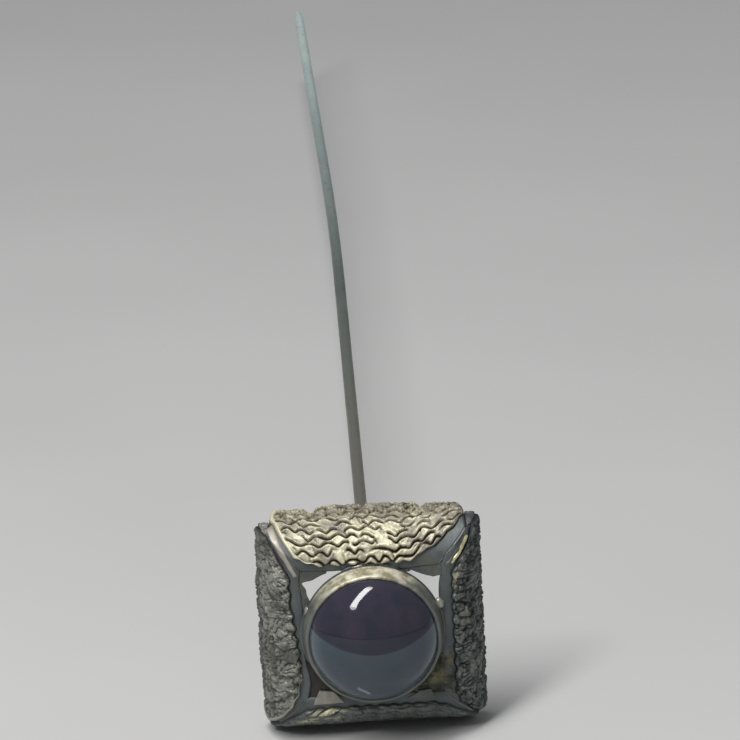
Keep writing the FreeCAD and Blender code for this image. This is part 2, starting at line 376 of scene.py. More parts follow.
def cup_material():
    """The cup: painted light makes it pale and yellowish along the top, towards the lamp; elsewhere
    it is dark with tarnish.
    """
    recipe = Recipe("cup_metal", 0.4, 0.5)
    cloud = recipe.noise(1.6, 4)
    ragged = recipe.math("MULTIPLY_ADD", recipe.math("SUBTRACT", cloud, 0.5), 2.4, recipe.axis(2))
    # higher up, and a little to the left, the colour turns cream: painted light, where the top
    # faces the light from above
    up = recipe.math("MULTIPLY_ADD", recipe.axis(0), -0.14, ragged)
    painted_top_light = recipe.span(up, 3.6, 6.2)
    dark = recipe.ramp(cloud, [(0.3, (0.09, 0.103, 0.097)), (0.7, (0.18, 0.187, 0.16))])
    blotch = recipe.noise(0.9, 3)
    lit_cream = recipe.ramp(
        blotch,
        [(0.4, (0.32, 0.29, 0.19)), (0.52, (0.60, 0.56, 0.41)), (0.66, (0.86, 0.83, 0.66))],
    )
    worn = recipe.span(recipe.attribute("lip"), 0.2, 1.0, 0, 0.35)
    rubbed = recipe.mix(worn, dark, (0.20, 0.22, 0.20))
    recipe.colour(recipe.mix(painted_top_light, rubbed, lit_cream))
    recipe.roughness(recipe.span(cloud, 0.3, 0.7, 0.45, 0.62))
    recipe.bump(recipe.noise(0.3, 4), 0.02)
    return recipe.material


# places on the stone seen from in front, in millimetres
REFLECTION_LINE_LOW, REFLECTION_LINE_BOW = 0.25, 0.055  # where violet turns to blue-grey: the edge of a painted reflection
STONE_BAND_BOW = 0.0142  # top edge of the darker band that offsets the floor's reflection
# a pale streak low on the dome: a painted reflection
REFLECTION_STREAK_X, REFLECTION_STREAK_Z = -1.15, -4.16
REFLECTION_STREAK_AHEAD = (0.83, -0.56)  # its direction


def stone_material():
    """Dark violet glass with a painted reflection: blue-grey under a curved line across the dome.
    """
    recipe = Recipe("dark_stone", 0.0, 0.05)
    x = recipe.axis(0)
    z = recipe.axis(2)
    square = recipe.math("MULTIPLY", x, x)
    bowed = recipe.math("MULTIPLY", square, REFLECTION_LINE_BOW)
    line = recipe.math("SUBTRACT", recipe.math("ADD", z, REFLECTION_LINE_LOW), bowed)
    reflection_below = recipe.span(line, -0.12, 0.12, 1, 0)
    cloud = recipe.noise(2.6, 3)
    above = recipe.math("SUBTRACT", z, recipe.math("MULTIPLY", square, STONE_BAND_BOW))
    upper = recipe.ramp(cloud, [(0.35, (0.024, 0.026, 0.041)), (0.65, (0.042, 0.034, 0.052))])
    # deep is painted shade: the violet is darker under the band's top edge, to offset the floor's
    # reflection
    deep = recipe.ramp(cloud, [(0.3, (0.013, 0.015, 0.028)), (0.7, (0.020, 0.021, 0.037))])
    violet = recipe.mix(recipe.span(above, 1.27, 1.36), deep, upper)
    # the blue-grey under the line is a painted reflection, painted lighter still towards the dome's
    # edge
    reflected_slate = recipe.ramp(cloud, [(0.3, (0.038, 0.056, 0.076)), (0.7, (0.048, 0.068, 0.088))])
    radius = recipe.math("MULTIPLY_ADD", x, x, recipe.math("MULTIPLY", z, z))
    reflected_slate = recipe.mix(recipe.span(radius, 18, 34, 0, 0.6), reflected_slate, (0.095, 0.12, 0.14))
    # a faint pale streak low on the dome, 1.6 mm long: a painted reflection
    right = recipe.math("SUBTRACT", x, REFLECTION_STREAK_X)
    up = recipe.math("SUBTRACT", z, REFLECTION_STREAK_Z)
    cos, sin = REFLECTION_STREAK_AHEAD
    run = recipe.math("MULTIPLY_ADD", right, cos, recipe.math("MULTIPLY", up, sin))
    off = recipe.math("MULTIPLY_ADD", right, -sin, recipe.math("MULTIPLY", up, cos))
    grain = recipe.math("SUBTRACT", recipe.noise(0.5, 3), 0.5)
    ragged = recipe.math("MULTIPLY_ADD", grain, 0.35, recipe.math("ABSOLUTE", off))
    long_mask = recipe.span(recipe.math("ABSOLUTE", run), 0.45, 0.85, 1, 0)
    reflection_streak = recipe.math("MULTIPLY", recipe.span(ragged, 0.04, 0.22, 0.6, 0), long_mask)
    recipe.colour(recipe.mix(reflection_streak, recipe.mix(reflection_below, violet, reflected_slate), (0.36, 0.39, 0.43)))
    recipe.roughness(recipe.span(recipe.noise(0.8, 4), 0.3, 0.7, 0.03, 0.07))
    return recipe.material


def wire_material():
    """Drawn steel wire: brown by the head and grey-green in the middle; painted light makes it pale
    towards the point.
    """
    recipe = Recipe("steel_wire", 0.3, 0.45)
    y = recipe.axis(1)
    mottle = recipe.noise(1.6, 4, (1, 0.25, 1))
    along = recipe.math("DIVIDE", y, SHANK_LENGTH)
    drift = recipe.math("MULTIPLY_ADD", recipe.math("SUBTRACT", mottle, 0.5), 0.12, along)
    # from about 0.72 of the way along, the colour grows pale towards the point: painted light on
    # the wire
    steel_and_painted_light = recipe.ramp(
        drift,
        [
            (0.00, (0.13, 0.12, 0.09)),
            (0.10, (0.15, 0.135, 0.115)),
            (0.30, (0.14, 0.145, 0.13)),
            (0.45, (0.11, 0.13, 0.12)),
            (0.72, (0.34, 0.42, 0.40)),
            (1.00, (0.72, 0.86, 0.81)),
        ],
    )
    spots = recipe.span(recipe.noise(0.7, 3), 0.6, 0.72)
    recipe.colour(recipe.mix(recipe.math("MULTIPLY", spots, 0.5), steel_and_painted_light, (0.10, 0.08, 0.06)))
    recipe.roughness(recipe.span(mottle, 0.3, 0.7, 0.3, 0.5))
    recipe.bump(recipe.noise(0.5, 3, (1, 0.15, 1)), 0.01)
    return recipe.material


def floor_material():
    recipe = Recipe("pale_floor", 0.0, 0.7)
    pale = [(0.3, (0.52, 0.52, 0.51)), (0.7, (0.55, 0.55, 0.54))]
    recipe.colour(recipe.ramp(recipe.noise(60, 2), pale))
    return recipe.material


# ---------------------------------------------------------------- textured panels

# (place along, half width, depth) of dents in the back rims, and of one bump on the left
RIM_DENTS = {
    "top": [(-5.15, 0.6, 0.5), (4.95, 0.5, 0.42)],
    "right": [(6.5, 0.4, 0.25)],
    "bottom": [],
    "left": [(1.2, 0.4, -0.1)],
}
PANEL_BACK_ANGLE = math.radians(86)
PANEL_STEP = 0.065  # between mesh points
CORNER_RUN = 2.1  # the rounding of a panel's back corners, over its curve
EDGE_ROLL = 0.24
RIDGE_HEIGHT = 0.34
GROOVE_WIDTH, GROOVE_DEPTH = 0.105, 0.3
BANK_OFF, BANK_WIDTH, BANK_HEIGHT = 0.24, 0.11, 0.055  # the raised banks of a groove
NICK_SPACING, NICK_WIDTH, NICK_DEPTH = 1.1, 0.08, 0.16
SCALLOP, SCALLOP_WAVE = 0.12, 1.3
PANEL_SINK = 0.06  # the underside lies this far in the rail's sheet


def rail_curve(angle):
    """(across, depth) and the outward normal of the top rail's curve, angle 0 at the crest."""
    across = CREST_R + RUN * np.sin(angle)
    depth = CREST_DEPTH * np.cos(angle)
    normal = np.stack([np.sin(angle) / RUN, np.cos(angle) / CREST_DEPTH], -1)
    normal /= np.linalg.norm(normal, axis=-1)[..., None]
    return across, depth, normal


def crepe(along, across, seed, spacing, wave, swing, broken):
    """Height in millimetres of flat-topped wavy ridges that run along the panel.

    Narrow grooves part them. broken, from 0 to 1, is how much the grooves are interrupted.
    """
    height = RIDGE_HEIGHT + 0.05 * noise(along, across, 0.45, seed)
    height = height + 0.02 * noise(along, across, 0.17, seed + 1)
    deepest = 0 * height
    for row in range(-1, int(np.max(across) / spacing) + 3):
        flat = 0 * along + 7.3 * row
        phase = 2.3 * row + 0.45 * noise(along, flat, 2.6, seed + 2)
        reach = swing * (1 + 0.35 * noise(along, flat, 1.6, seed + 3))
        turn = 2 * np.pi * along / wave + 2 * np.pi * phase
        centre = (row + 0.5) * spacing + 0.16 * spacing * noise(along, flat, 2.4, seed + 4)
        centre = centre + reach * (np.sin(turn) + 0.14 * np.sin(2 * turn + 1.1))
        slope = reach * 2 * np.pi / wave * np.cos(turn)
        off = (across - centre) / np.sqrt(1 + slope**2)
        gap = 0.7 * broken
        whole = ease(-0.8 + gap, -0.45 + gap, noise(along, flat, 0.8, seed + 5))
        width = GROOVE_WIDTH * (1 + 0.3 * noise(along, flat, 0.6, seed + 6))
        deepest = np.maximum(deepest, np.exp(-((off / width) ** 2)) * whole)
        raised = np.exp(-(((off + BANK_OFF) / BANK_WIDTH) ** 2))
        raised = raised + 0.6 * np.exp(-(((off - BANK_OFF) / BANK_WIDTH) ** 2))
        height = height + BANK_HEIGHT * raised * whole
    height = height + 0.06 * crinkle(along, across, seed + 9) - 0.02
    slant = along + 0.45 * across + 0.35 * noise(along, across, 0.8, seed + 7)
    nick = np.exp(-((((slant / NICK_SPACING) % 1 - 0.5) * NICK_SPACING / NICK_WIDTH) ** 2))
    often = 0.4 * broken
    nick = nick * ease(0.25 - often, 0.6 - often, noise(along, across, 0.7, seed + 8))
    return height - GROOVE_DEPTH * deepest - NICK_DEPTH * nick


def crinkle(along, across, seed):
    """Height in millimetres of fine irregular flakes parted by creases."""
    warp = 0.28 * noise(along, across, 0.8, seed)
    crease = np.abs(noise(1.2 * along + warp, 0.7 * across - warp, 0.42, seed + 1))
    small = np.abs(noise(along - warp, 0.8 * across, 0.23, seed + 2))
    swell = 0.09 * noise(along, across, 0.6, seed + 3)
    return 0.12 + swell + 0.2 * ease(0, 0.42, crease) + 0.11 * ease(0, 0.45, small)


def rim_dip(name, along, back):
    """How far dents in a side's back rim drop it, at places along and distances from the rim."""
    drop = 0 * along + 0 * back
    for where, width, depth in RIM_DENTS[name]:
        drop = drop + depth * np.clip(1 - np.abs(along - where) / width, 0, 1) ** 0.8
    return drop * ease(2.0, 0.3, back)


def end_cap(sign, seed):
    """Sheet turned over a rail's end in the notch: points, faces and relief."""
    radial = np.linspace(RAIL_HALF_LENGTH + 0.04, RAIL_HALF - 0.05, 30)[:, None]
    share = np.linspace(0.03, 0.98, 80)[None, :]
    level = CREST_DEPTH * np.sqrt(1 - ((radial - CREST_R) / RUN) ** 2) * share
    rolled = round_over(radial - radial[0], 0.15) * round_over(radial[-1] - radial, 0.3)
    rolled = rolled * round_over(share, 0.04) * round_over(1 - share, 0.03)
    height = (0.02 + 0.35 * crinkle(level, radial + 0 * level, seed)) * rolled
    place = radial + 0 * level
    grids = []
    for by in (height, 0 * height - 0.08):
        grids.append(np.stack([sign * (RAIL_HALF_LENGTH + by), -level, place], -1))
    if sign > 0:
        grids = [grid[::-1] for grid in grids]
        height = height[::-1]
    return (*slab(*grids), np.clip(height / 0.16, 0, 1))


def panel(name, turns, ends, texture, grain, swell, slant, spots, material):
    """The textured sheet on one rail, with rolled edges and smooth borders at its mitred ends.

    ends are (outline, corner cut, border width, border gilding) at the -along and +along ends,
    an outline being (distance out from the stone's middle, reach along) points. texture is the
    ridges' (spacing, wave, swing, broken) for crepe, and grain, from 0 to 1, turns them into
    flakes. swell is (amount, half length) of the lift of the back edge, and slant draws in the
    opening edge towards +along. spots are (place along, place over the curve, size, strength)
    of brighter streaks in the gilt colour: painted highlights.
    """
    outlines, cuts, borders, gilts = zip(*ends)
    inner_r = outlines[0][0][0]
    start = math.asin((inner_r - CREST_R) / RUN)
    fine = np.linspace(start, PANEL_BACK_ANGLE, 2000)
    fine_across, fine_depth, _ = rail_curve(fine)
    steps = np.hypot(np.diff(fine_across), np.diff(fine_depth))
    run = np.concatenate([[0], np.cumsum(steps)])
    rows = int(run[-1] / PANEL_STEP)
    columns = int(2 * RAIL_HALF_LENGTH / PANEL_STEP)
    reach = np.linspace(0, run[-1], rows)
    place, _, _ = rail_curve(np.interp(reach, run, fine))
    back_share = np.clip(1 - (run[-1] - reach) / CORNER_RUN, 0, 1)
    halves = []
    for outline, cut in zip(outlines, cuts):
        half = np.interp(place, *zip(*outline))
        halves.append(half - cut * (1 - np.sqrt(1 - back_share**2)))

    seed = 100 * (turns + 1)
    side = np.linspace(-1, 1, columns)[None, :]
    half = np.where(side < 0, halves[0][:, None], halves[1][:, None])
    ragged = np.where(side < 0, *borders) < 0.2
    tears = noise(reach[:, None] + 9 * np.sign(side), 0 * half, 0.55, seed + 19)
    half = half + 0.12 * ragged * tears
    along = side * half
    across = reach[:, None] + 0 * along
    # the inner edge is scalloped, and its waves fade towards the back
    turn = 2 * np.pi * along / SCALLOP_WAVE + 2 * noise(along, 0 * along, 2.0, seed + 20)
    scallop = SCALLOP * np.sin(turn)
    across = across + scallop * np.exp(-across / 0.8)
    across = across + slant * ease(-4, 5, along) * ease(2.6, 0.0, across)
    place, depth, normal = rail_curve(np.interp(np.clip(across, 0, run[-1]), run, fine))

    end = (half - np.abs(along)) * 0.78
    back = run[-1] - reach[:, None]
    border = np.where(along < 0, *borders)
    inside = ease(border * 0.8, border * 1.05 + 0.05, end)
    rolled = round_over(end, EDGE_ROLL) * round_over(reach[:, None], EDGE_ROLL)
    rolled = rolled * round_over(back, 0.16)
    bent = across - 0.5 * np.clip(along - 3.2, 0, None) - 0.25 * np.clip(-along - 5.5, 0, None)
    height = crepe(along, bent + 4 * texture[0], seed, *texture)
    flaked = np.maximum(grain, 0.6 * ease(2.4, 1.2, back))
    height = height * (1 - flaked) + crinkle(along, across, seed + 40) * flaked
    band = RIDGE_HEIGHT + 0.07 * np.sin(np.pi * np.clip(end / np.maximum(border, 0.05), 0, 1))
    band = band + 0.02 * noise(along, across, 0.6, seed + 21)
    height = height * inside + band * (1 - inside)
    lump = 0.05 * noise(along, across, 2.5, seed + 22)
    amount, half_length = swell
    middle = ease(half_length + 0.8, half_length - 0.8, np.abs(along))
    lump = lump + amount * middle * ease(1.8, 0.2, back)
    height = np.clip(height + lump * rolled, 0.04, 0.75) * rolled - PANEL_SINK * (1 - rolled)
    # Besides the height, the relief values are painted darker on the rolled edges and over about 3
    # mm before the back rim: painted shade where the sheet turns away from the light.
    relief_and_shade = np.clip((height - lump - 0.06) / 0.36, 0, 1) * (0.35 + 0.65 * rolled)
    relief_and_shade = relief_and_shade * (1 - 0.3 * ease(3.2, 1.2, back))
    gilt_and_highlight = np.where(along < 0, *gilts) * (1 - inside) * rolled

    # the spots are brighter streaks in the gilt colour on the raised relief: painted highlights
    streak = ease(-0.1, 0.3, noise(along * 0.35, across, 0.3, seed + 27))
    for where, over, size, strength in spots:
        near = np.exp(-(((along - where) / size) ** 2) - ((across - over) / (0.6 * size)) ** 2)
        gilt_and_highlight = np.maximum(gilt_and_highlight, strength * near * streak * ease(0.3, 0.6, relief_and_shade))

    drop = rim_dip(name, along, back)

    def lifted(by):
        radial = place + normal[..., 0] * by - drop
        return np.stack([along, -(depth + normal[..., 1] * by), radial], -1)

    parts = [slab(lifted(height), lifted(0 * height - PANEL_SINK - 0.02))]
    reliefs = [relief_and_shade.ravel(), 0 * relief_and_shade.ravel()]
    for sign, cut in zip((-1, 1), cuts):
        if cut < 0.5:
            # worn holds the cap's relief values, low and dark on its rolled edges: tarnish with
            # painted shade
            points, faces, worn = end_cap(sign, seed + 60)
            parts.append((points, faces))
            reliefs += [worn.ravel(), 0 * worn.ravel()]
    reliefs = np.concatenate(reliefs)
    gilt_and_highlight_all = np.zeros(len(reliefs))
    gilt_and_highlight_all[: gilt_and_highlight.size] = gilt_and_highlight.ravel()
    parts = [(turned(points, turns), faces, material) for points, faces in parts]
    values = [("relief_and_shade", reliefs), ("gilt", gilt_and_highlight_all)]
    return add_piece(name + "_sheet", parts, [name + "_panel"], values)


# ---------------------------------------------------------------- rails

SHEET = 0.5
FLANGE_INNER_R = 7.0
MITRE_GAP = 0.1
CORNER_ROUND = 1.0


def rail_section():
    """Outer and inner (across, depth) points of a rail's sheet, from the opening to the flange."""
    angle = np.linspace(0, math.pi / 2, 44)
    lip = [(0.0, 0.42), (0.0, 0.2), (0.05, 0.06), (0.15, 0.0), (0.28, 0.0)]
    outer = [(OPENING_HALF + a, CREST_DEPTH - b) for a, b in lip]
    outer += [(CREST_R + RUN * math.sin(a), CREST_DEPTH * math.cos(a)) for a in angle[:-1]]
    outer += [(RAIL_HALF, 0.1), (RAIL_HALF - 0.1, 0.0)]
    inner = [(OPENING_HALF + 0.04 + 0.06 * i, CREST_DEPTH - SHEET) for i in range(len(lip))]
    run, rise = RUN - SHEET, CREST_DEPTH - SHEET
    turn = math.acos(SHEET / rise)
    for a in angle[:-1] * turn / angle[-1]:
        inner.append((CREST_R + run * math.sin(a), rise * math.cos(a)))
    edge = RAIL_HALF - 0.1
    inner += [(CREST_R + run * math.sin(turn), SHEET), (edge - SHEET, SHEET)]
    for share in np.linspace(0, 1, 9)[1:]:
        outer.append((edge + (FLANGE_INNER_R - edge) * share, 0.0))
        inner.append((edge - SHEET + (FLANGE_INNER_R - edge + SHEET) * share, SHEET))
    return np.array(outer), np.array(inner)


def rail(name, turns, bulges, material):
    """One rail: domed sheet with a rolled lip at the opening, a flange behind and closed ends.

    bulges are (place along, width, amount): places where the lip comes further into the opening.
    """
    side = np.linspace(-1, 1, 81)[None, :]
    grids = []
    for section in rail_section():
        across = section[:, :1]
        depth = section[:, 1:]
        over = np.clip((across - RAIL_HALF + CORNER_ROUND) / CORNER_ROUND, 0, 1)
        half = np.minimum(across - MITRE_GAP, RAIL_HALF_LENGTH)
        half = half - CORNER_ROUND * (1 - np.sqrt(1 - over**2))
        along = side * half
        front = ease(CREST_DEPTH - 0.8, CREST_DEPTH - 0.3, depth)
        front = front * ease(CREST_R + 0.4, CREST_R, across)
        shift = 0.05 * noise(along, 0 * along, 1.6, 900 + turns)
        for where, width, amount in bulges:
            shift = shift - amount * np.exp(-(((along - where) / width) ** 2))
        dent = 0.03 * noise(along, across + depth, 1.8, 910 + turns)
        rim = rim_dip(name, along, 1.2 * (RAIL_HALF - across))
        rim = rim * ease(RAIL_HALF - 1.5, RAIL_HALF - 0.3, across)
        grids.append(np.stack([along, -(depth + dent), across + shift * front - rim], -1))
    parts = [(*slab(turned(grids[0], turns), turned(grids[1], turns)), material)]
    # the two end walls, from the curve back to the rim
    radial = np.linspace(RAIL_HALF_LENGTH - 0.35, RAIL_HALF - 0.12, 16)[:, None]
    curve = CREST_DEPTH * np.sqrt(1 - ((radial - CREST_R) / RUN) ** 2)
    level = (curve - 0.06) * np.linspace(1, 0, 8)[None, :] + 0.02
    over = np.clip((radial - RAIL_HALF + CORNER_ROUND) / CORNER_ROUND, 0, 1)
    reach = np.minimum(RAIL_HALF_LENGTH, radial - MITRE_GAP) - 0.02
    reach = reach - CORNER_ROUND * (1 - np.sqrt(1 - over**2))
    for sign in (-1, 1):
        outside = np.stack([sign * (reach + 0 * level), -level, radial + 0 * level], -1)
        inside = outside - np.array([sign * 0.45, 0, 0])
        if sign > 0:
            outside, inside = inside, outside
        parts.append((*slab(turned(inside, turns), turned(outside, turns)), material))
    return add_piece(name + "_frame_rail", parts, [name + "_rail"])


# ---------------------------------------------------------------- seams and solder


def rail_surface(x, z):
    """Points and outward normals on the rails at places near the top right mitre."""
    radial = np.maximum(x, z)
    lean = np.arcsin(np.clip((radial - CREST_R) / RUN, 0, 0.995))
    _, depth, curve = rail_curve(lean)
    share = ease(-0.15, 0.15, (x - z) / math.sqrt(2))
    normal = np.stack([curve[..., 0] * share, -curve[..., 1], curve[..., 0] * (1 - share)], -1)
    normal /= np.linalg.norm(normal, axis=-1)[..., None]
    return np.stack([x, -depth, z], -1), normal


def ribbon(path, widths, height, seed):
    """A bead or strip over the rails along a path of (x, z) places, near the top right mitre.

    widths are its half widths at the two ends.
    """
    path = np.array(path, float)
    run = np.concatenate([[0], np.cumsum(np.hypot(*np.diff(path, axis=0).T))])
    share = np.linspace(0, 1, 80)[:, None]
    x = np.interp(share * run[-1], run, path[:, 0])
    z = np.interp(share * run[-1], run, path[:, 1])
    for _ in range(30):
        x[1:-1] = (x[:-2] + x[1:-1] + x[2:]) / 3
        z[1:-1] = (z[:-2] + z[1:-1] + z[2:]) / 3
    ahead = np.hypot(np.gradient(x, axis=0), np.gradient(z, axis=0))
    side = np.linspace(-1, 1, 19)[None, :]
    half = widths[0] + (widths[1] - widths[0]) * share
    half = half * (1 + 0.15 * noise(share * run[-1], 0 * share, 0.6, seed))
    across_x = x + half * side * np.gradient(z, axis=0) / ahead
    across_z = z - half * side * np.gradient(x, axis=0) / ahead
    lift = height * np.sqrt(np.clip(1 - side**2, 0, 1))
    lift = lift * round_over(share, 0.06) * round_over(1 - share, 0.06)
    lift = lift * (1 + 0.3 * noise(across_x, across_z, 0.45, seed + 1))
    place, normal = rail_surface(across_x, across_z)
    return slab(place + normal * (lift - 0.05)[..., None], place - normal * 0.16)


def rough_plate(x, z, level, rough, seed):
    """A thin uneven plate over a grid of places, at a depth."""
    level = level + rough * noise(x, z, 0.45, seed) + 0.45 * rough * noise(x, z, 0.2, seed + 1)
    return slab(np.stack([x, -(level - 0.35), z], -1), np.stack([x, -level, z], -1))


def web(outline, level, rough, seed):
    """A four-cornered patch beside a top right corner of the opening.

    outline has (x, z) places set from the opening's corner, the first two on its hidden side.
    """
    s = np.linspace(0, 1, 40)[:, None]
    t = np.linspace(0, 1, 40)[None, :]
    shares = [(1 - s) * (1 - t), (1 - s) * t, s * t, s * (1 - t)]
    x = OPENING_HALF + sum(share * place[0] for share, place in zip(shares, outline))
    z = OPENING_HALF + sum(share * place[1] for share, place in zip(shares, outline))
    x = x + 0.08 * s * noise(x, z, 0.6, seed)
    z = z + 0.08 * s * noise(x, z, 0.6, seed + 1)
    return rough_plate(x, z, CREST_DEPTH + level, rough, seed + 2)


def fill(angles, level, rough, seed):
    """A patch between the cup and the rails of a top right corner, over angles from +X."""
    angle = np.radians(np.linspace(*angles, 70))[None, :]
    share = np.linspace(0, 1, 30)[:, None]
    edge = (OPENING_HALF + 0.12) / np.maximum(np.cos(angle), np.sin(angle))
    radius = (BASE_R - 0.3) * (1 - share) + np.maximum(edge, BASE_R - 0.2) * share
    x, z = radius * np.cos(angle), radius * np.sin(angle)
    return rough_plate(x, z, CREST_DEPTH + level, rough, seed)


def corner_solder(name, turns, ribbons, patches):
    """One corner's solder: beads and strips over the mitre, and the patches they run out into.

    Each ribbon is (path, half widths, height, metal), and each patch is (kind, shape, level
    over the margins, roughness, metal).
    """
    seed = 700 + 20 * turns
    parts = []
    for index, (path, widths, height, metal) in enumerate(ribbons):
        parts.append((*ribbon(path, widths, height, seed + index), metal))
    for index, (kind, shape, level, rough, metal) in enumerate(patches):
        parts.append((*kind(shape, level, rough, seed + 5 * index), metal))
    parts = [(turned(points, turns), faces, metal) for points, faces, metal in parts]
    return add_piece(name + "_solder", parts, [name + "_seam"])


def solder_run(angles, size, sharpness, out, level, seed):
    """Solder round part of the cup's foot at the top: a tube between two angles in degrees."""
    angle = np.linspace(*angles, 90)
    share = (2 * (angle - angles[0]) / (angles[1] - angles[0]) - 1) * 0.9999
    radius = size * (1 + 0.2 * noise(angle, 0 * angle, 4, seed))
    radius = radius * np.sqrt(1 - np.abs(share) ** sharpness) + 0.01
    turn = np.radians(angle)
    ring = BASE_R + 0.02 + out
    depth = 0 * turn + CREST_DEPTH + level
    centres = np.stack([ring * np.sin(turn), -depth, ring * np.cos(turn)], -1)
    around = np.arange(20)[None, :] / 5
    ripple = 1 + 0.12 * noise(angle[:, None] / 3 + 0 * around, around, 1, seed + 1)
    return tube(centres, radius[:, None] * ripple, 20, (0, 1, 0))


def bezel_joint(name, turns, lump, bead_metal, lump_metal):
    """Solder between the cup's base and one rail: a thin dull bead, with one brighter lump.

    The lump is (angle from the side's middle in degrees, radius, distance out from the base).
    """
    seed = 61 + turns
    where, size, out = lump
    bead = solder_run((-24, 24), 0.13, 8, 0.0, 0.06, seed)
    blob = solder_run((where - 4.5, where + 4.5), size, 2, out, 0.2, seed + 5)
    parts = []
    for (points, faces), metal in ((bead, bead_metal), (blob, lump_metal)):
        parts.append((turned(points, turns), faces, metal))
    return add_piece(name + "_cup_solder", parts, [name + "_bezel_joint"])


# ---------------------------------------------------------------- cup, stone and shank

COLLAR_SIDES = 240
STONE_SIDES = 192
WIRE_SIDES = 48


def collar(material):
    """The cup's wall, hammered a little uneven, with a rounded lip burnished over the stone."""
    lip_middle = (COLLAR_TOP_R + LIP_INNER_R) / 2 - 0.02
    lip_half = (COLLAR_TOP_R - LIP_INNER_R) / 2 + 0.05
    shoulder = LIP_TOP - lip_half
    outer = [(COLLAR_FOOT_R + 0.05, BASE_FRONT - 0.02), (COLLAR_FOOT_R - 0.01, BASE_FRONT + 0.12)]
    for share in (0.2, 0.4, 0.6, 0.8):
        radius = COLLAR_FOOT_R + (lip_middle + lip_half - COLLAR_FOOT_R) * share
        outer.append((radius, BASE_FRONT + (shoulder - BASE_FRONT) * share))
    turns = np.linspace(0, np.pi, 11)
    lip = [(lip_middle + lip_half * math.cos(a), shoulder + lip_half * math.sin(a)) for a in turns]
    inner = [(STONE_R + 0.02, shoulder - 0.3), (STONE_R + 0.02, BASE_FRONT)]

    def wobble(angle, radius, depth):
        high = ease(BASE_FRONT, LIP_TOP, depth)
        beat = noise(np.cos(angle) * 3 + 9, np.sin(angle) * 3 + 9 + depth, 0.55, 41)
        wave = noise(np.cos(angle) * 3 + 9, np.sin(angle) * 3 + 9, 1.4, 42)
        return radius + 0.03 * beat * high, depth + (0.05 * wave + 0.03 * beat) * high * high

    shape = lathe(outer + lip + inner, COLLAR_SIDES, wobble)
    crest = [0.0] * len(outer) + [1.0] * len(lip) + [0.0] * len(inner)
    values = [("lip", np.repeat(crest, COLLAR_SIDES))]
    return add_piece("collar", [(*shape, material)], ["bezel_collar"], values)


def stone(material):
    """The domed stone: a flat back, a small bevel, and a shoulder arc that runs into the crown."""
    crown_r = (STONE_R**2 + STONE_DOME**2) / 2 - STONE_SHOULDER_R * STONE_R
    crown_r = crown_r / (STONE_DOME - STONE_SHOULDER_R)
    shoulder_centre = STONE_R - STONE_SHOULDER_R
    join = math.acos(shoulder_centre / (crown_r - STONE_SHOULDER_R))
    girdle = STONE_BACK + STONE_BEVEL
    profile = [(0, girdle + STONE_DOME)]
    for a in np.linspace(math.pi / 2, join, 42)[1:]:
        rise = STONE_DOME - crown_r + crown_r * math.sin(a)
        profile.append((crown_r * math.cos(a), girdle + rise))
    for a in np.linspace(join, 0, 30)[1:]:
        radius = shoulder_centre + STONE_SHOULDER_R * math.cos(a)
        profile.append((radius, girdle + STONE_SHOULDER_R * math.sin(a)))
    profile += [(STONE_R - STONE_BEVEL, STONE_BACK), (STONE_R / 2, STONE_BACK), (0, STONE_BACK)]
    return add_piece("stone", [(*lathe(profile, STONE_SIDES), material)], ["cabochon"])


def shank(material):
    """The wire, with its slight bend, a blunt rounded point and a trace of hand straightening."""
    start = -SHANK_LOW[1]
    far = np.linspace(-start, SHANK_LENGTH, 420)
    nose = SHANK_LENGTH - POINT_LENGTH * (1 - np.linspace(0, 1, 24) ** 0.7)
    far = np.sort(np.concatenate([far[far < SHANK_LENGTH - POINT_LENGTH], nose]))
    bend = np.clip((far - SHANK_STRAIGHT) / BEND_RADIUS, 0, BEND_ANGLE)
    beyond = np.clip(far - SHANK_STRAIGHT - BEND_RADIUS * BEND_ANGLE, 0, None)
    x = -BEND_RADIUS * (1 - np.cos(bend)) - beyond * math.sin(BEND_ANGLE)
    y = np.minimum(far, SHANK_STRAIGHT) + BEND_RADIUS * np.sin(bend) + beyond * math.cos(BEND_ANGLE)
    share = np.clip((SHANK_LENGTH - far) / POINT_LENGTH, 0, 1)
    radius = SHANK_R * (0.3 + 0.7 * share**0.6) * round_over(share, 1 / 8)
    radius = np.maximum(radius, TIP_R) * (1 + 0.012 * noise(far, 0 * far, 5.0, 51))
    centres = np.stack([x, y, 0 * x], -1)
    points, faces = tube(centres, radius, WIRE_SIDES, (0, 0, 1))
    return add_piece("wire", [(points, faces, material)], ["shank"])


# ---------------------------------------------------------------- the pin

# The four panels are one metal. These are lit and shaded copies of it: painted light makes the top
# panel pale and cream, and painted shade makes the right, left and bottom panels darker, as light
# falls from above.
top_sheet_painted_lit = panel_material(
    "texture_top_painted_lit", (0.012, 0.011, 0.006), (0.19, 0.175, 0.118),
    (0.64, 0.60, 0.43), (0.23, 0.205, 0.175), (0.78, 0.74, 0.52),
)
left_sheet_painted_shade = panel_material(
    "texture_left_painted_shade", (0.018, 0.018, 0.015), (0.09, 0.09, 0.079),
    (0.29, 0.29, 0.255), (0.085, 0.085, 0.075), (0.46, 0.45, 0.38),
)
right_sheet_painted_shade = panel_material(
    "texture_right_painted_shade", (0.010, 0.012, 0.013), (0.05, 0.056, 0.057),
    (0.18, 0.185, 0.175), (0.05, 0.06, 0.063), (0.62, 0.59, 0.38),
)
low_sheet_painted_shade = panel_material(
    "texture_low_painted_shade", (0.05, 0.056, 0.056), (0.10, 0.11, 0.11),
    (0.19, 0.20, 0.195), (0.12, 0.13, 0.13), (0.75, 0.71, 0.48),
)
dull_metal = sheet_material(
    "tarnished_sheet", (0.09, 0.103, 0.108), (0.15, 0.163, 0.163), (0.15, 0.148, 0.125), 0.55
)
